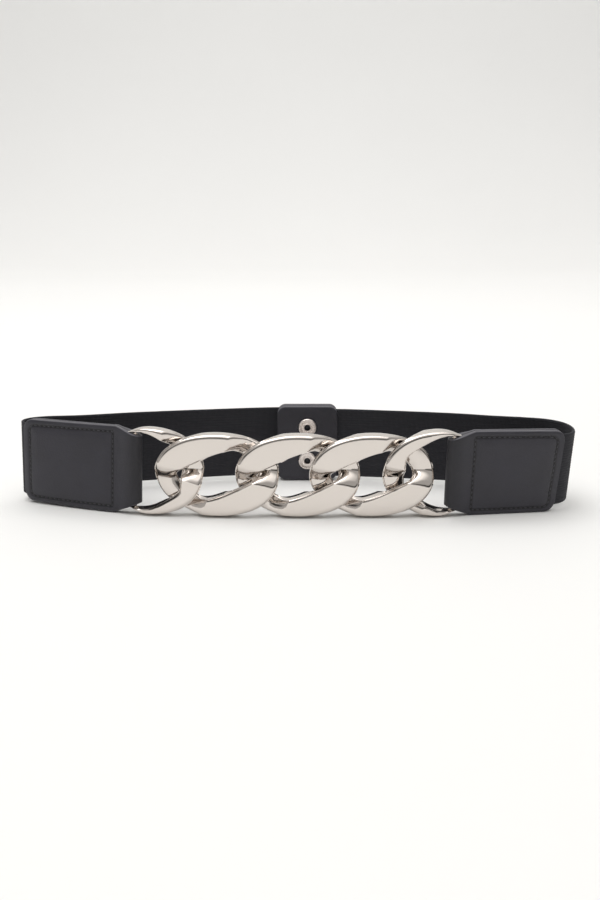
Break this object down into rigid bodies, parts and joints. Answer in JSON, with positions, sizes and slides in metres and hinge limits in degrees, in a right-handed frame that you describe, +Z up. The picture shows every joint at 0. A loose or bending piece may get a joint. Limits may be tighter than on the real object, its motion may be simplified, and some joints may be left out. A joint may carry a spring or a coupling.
{
  "type": "elastic waist belt",
  "caption": "Wide elastic waist belt with a curb-chain front, folded leather tabs at the chain's ends and a two-snap closure at the back.",
  "frame": {"origin": "middle of the belt's footprint on the surface that it stands on, lower edge down", "axes": "+Z up out of the loop, -Y towards the chain front, +X to the right seen from the front"},
  "size_m": [0.2916, 0.0758, 0.0466],
  "materials": {
    "nickel": "polished nickel plate, ground flat faces",
    "leather": "black fine-grained leather, satin, lock-stitched edges",
    "elastic": "black ribbed woven elastic, matte",
    "snap_metal": "satin nickel"
  },
  "bodies": {
    "root": {"link_left_end": "nickel", "link_1": "nickel", "link_2": "nickel", "link_3": "nickel", "link_right_end": "nickel", "tab_left": "leather", "tab_right": "leather", "elastic_left": "elastic", "elastic_right": "elastic", "back_tab_inner": "leather", "back_tab_outer": "leather", "snap_upper": "snap_metal", "snap_lower": "snap_metal"}
  },
  "joints": []
}
